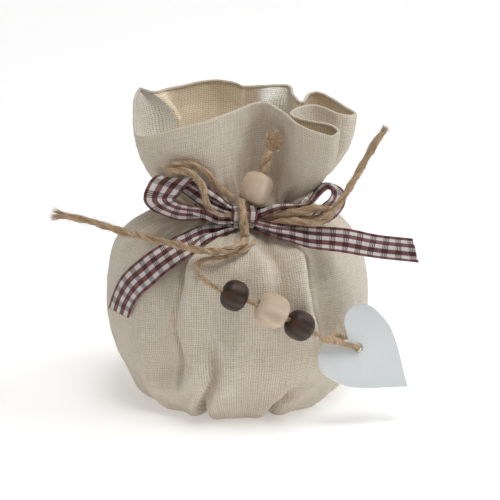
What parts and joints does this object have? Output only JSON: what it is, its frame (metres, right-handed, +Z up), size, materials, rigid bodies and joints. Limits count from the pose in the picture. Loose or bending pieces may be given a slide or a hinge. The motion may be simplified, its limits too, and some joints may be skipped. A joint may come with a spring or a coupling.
{
  "type": "fabric gift sack",
  "caption": "Small round cloth gift sack gathered at the neck by a gingham ribbon bow and a twine bow, with wooden beads and a heart tag on a cord.",
  "frame": {"origin": "centre of the face that the sack rests on", "axes": "+Z up; -Y is the side with the bow; +X is on the right of somebody who looks at the bow"},
  "size_m": [0.1328, 0.1135, 0.118],
  "materials": {
    "cloth": "plain weave cotton and linen",
    "filling": "crumpled tissue",
    "ribbon": "woven gingham",
    "twine": "hairy two-ply jute",
    "cord": "hairy thin jute",
    "dark_wood": "stained, semi-gloss",
    "pale_wood": "bare turned",
    "tag": "matt painted"
  },
  "bodies": {
    "sack": {"sack_body": "cloth", "sack_ruffle": "cloth", "filling": "filling", "ribbon_neck_band": "ribbon", "ribbon_knot": "ribbon", "ribbon_loop_left": "ribbon", "ribbon_loop_right": "ribbon", "ribbon_tail_left": "ribbon", "ribbon_tail_right": "ribbon", "twine_neck_wrap": "twine", "twine_knot": "twine", "twine_loop_left": "twine", "twine_loop_right": "twine", "twine_tail_left": "twine", "twine_tail_right": "twine", "cord_under_knot": "cord", "cord_stem": "cord", "cord_tuft": "cord"},
    "strand": {"cord_run": "cord"},
    "heart_cord": {"heart_knot": "cord", "heart_loop": "cord"},
    "top_bead": {"bead_top": "pale_wood"},
    "upper_dark_bead": {"bead_dark_upper": "dark_wood"},
    "pale_bead": {"bead_pale": "pale_wood"},
    "lower_dark_bead": {"bead_dark_lower": "dark_wood"},
    "heart": {"heart_tag": "tag"}
  },
  "joints": [
    {"name": "strand_lift", "type": "hinge", "parent": "sack", "child": "strand", "pos_m": [-0.015, -0.0466, 0.0667], "axis": [-0.4983, 0, -0.867], "range_deg": [0, 40]},
    {"name": "heart_cord_lift", "type": "hinge", "parent": "strand", "child": "heart_cord", "pos_m": [0.032, -0.0478, 0.0388], "axis": [-0.4983, 0, -0.867], "range_deg": [0, 50]},
    {"name": "heart_swing", "type": "hinge", "parent": "heart_cord", "child": "heart", "pos_m": [0.0456, -0.0415, 0.0326], "axis": [0.2501, -0.9102, 0.3301], "range_deg": [-12, 12]},
    {"name": "upper_dark_bead_slide", "type": "slide", "parent": "strand", "child": "upper_dark_bead", "axis": [0.9188, 0.0399, -0.3928], "range_m": [0, 0.0033]},
    {"name": "lower_dark_bead_slide", "type": "slide", "parent": "strand", "child": "lower_dark_bead", "axis": [0.7987, 0.2922, -0.526], "range_m": [0, 0.002]},
    {"name": "pale_bead_spin", "type": "hinge", "parent": "strand", "child": "pale_bead", "pos_m": [0.0132, -0.056, 0.0516], "axis": [0.8777, 0.1317, -0.4608], "continuous": true},
    {"name": "top_bead_spin", "type": "hinge", "parent": "sack", "child": "top_bead", "pos_m": [0.0074, -0.0258, 0.0906], "axis": [0.3872, 0.4123, 0.8247], "continuous": true}
  ]
}
